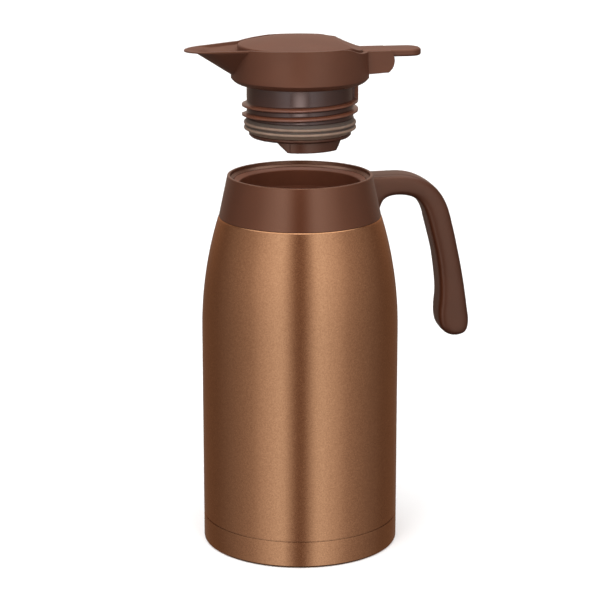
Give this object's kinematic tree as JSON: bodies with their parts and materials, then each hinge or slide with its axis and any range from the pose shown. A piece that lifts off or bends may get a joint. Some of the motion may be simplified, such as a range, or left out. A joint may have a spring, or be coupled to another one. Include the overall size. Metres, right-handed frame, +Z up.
{
  "type": "thermal pot",
  "caption": "Insulated serving pot with a slanted cantilever handle and a screw-in lever stopper with a pouring spout, shown with the stopper lifted off.",
  "frame": {"origin": "middle of the base on the table, on the pot's axis", "axes": "+X towards the handle and the lever, -X towards the spout, +Z up along the pot's axis"},
  "size_m": [0.2005, 0.1382, 0.3614],
  "materials": {
    "shell_paint": "bronze metallic paint on stainless steel",
    "bare_steel": "brushed",
    "solder": "as melted",
    "foil": "bright",
    "brown_plastic": "satin",
    "liner_plastic": "satin",
    "lid_plastic": "fine matte",
    "neck_plastic": "glossy",
    "seat_plastic": "glossy",
    "silicone": "soft matte"
  },
  "bodies": {
    "pot": {"outer_shell": "shell_paint", "bottom_cap": "shell_paint", "vacuum_seal": "solder", "base_disc": "bare_steel", "inner_vessel": "bare_steel", "foil_shield": "foil", "getter": "foil", "collar": "brown_plastic", "neck_liner": "liner_plastic", "liner_gasket": "silicone", "handle": "brown_plastic", "handle_cover": "brown_plastic", "handle_screws": "bare_steel"},
    "packing": {"packing_ring": "silicone"},
    "stopper": {"stopper_neck": "neck_plastic", "seat_ring": "seat_plastic", "valve_guide": "seat_plastic", "return_spring": "bare_steel", "housing_packing": "silicone", "lid_housing": "lid_plastic", "hinge_pin": "bare_steel"},
    "lever": {"lid_lever": "lid_plastic", "link_pin": "bare_steel"},
    "valve": {"valve_stem": "seat_plastic", "valve_seal": "silicone"}
  },
  "joints": [
    {"name": "stopper_lift", "type": "slide", "parent": "pot", "child": "packing", "axis": [0, 0, 1], "range_m": [-0.0691, 0]},
    {"name": "stopper_turn", "type": "hinge", "parent": "packing", "child": "stopper", "pos_m": [0, 0, 0.3], "axis": [0, 0, 1], "range_deg": [0, 540]},
    {"name": "lid_press", "type": "hinge", "parent": "stopper", "child": "lever", "pos_m": [0.056, 0, 0.34335], "axis": [0, 1, 0], "range_deg": [0, 10]},
    {"name": "valve_lift", "type": "slide", "parent": "stopper", "child": "valve", "axis": [0, 0, 1], "range_m": [0, 0.0098], "stiffness_N_per_m": 250, "springref_m": -0.016, "deforming": ["return_spring"]}
  ],
  "couplings": [
    {"joint": "valve_lift", "follows": "lid_press", "m_per_rad": 0.056}
  ]
}
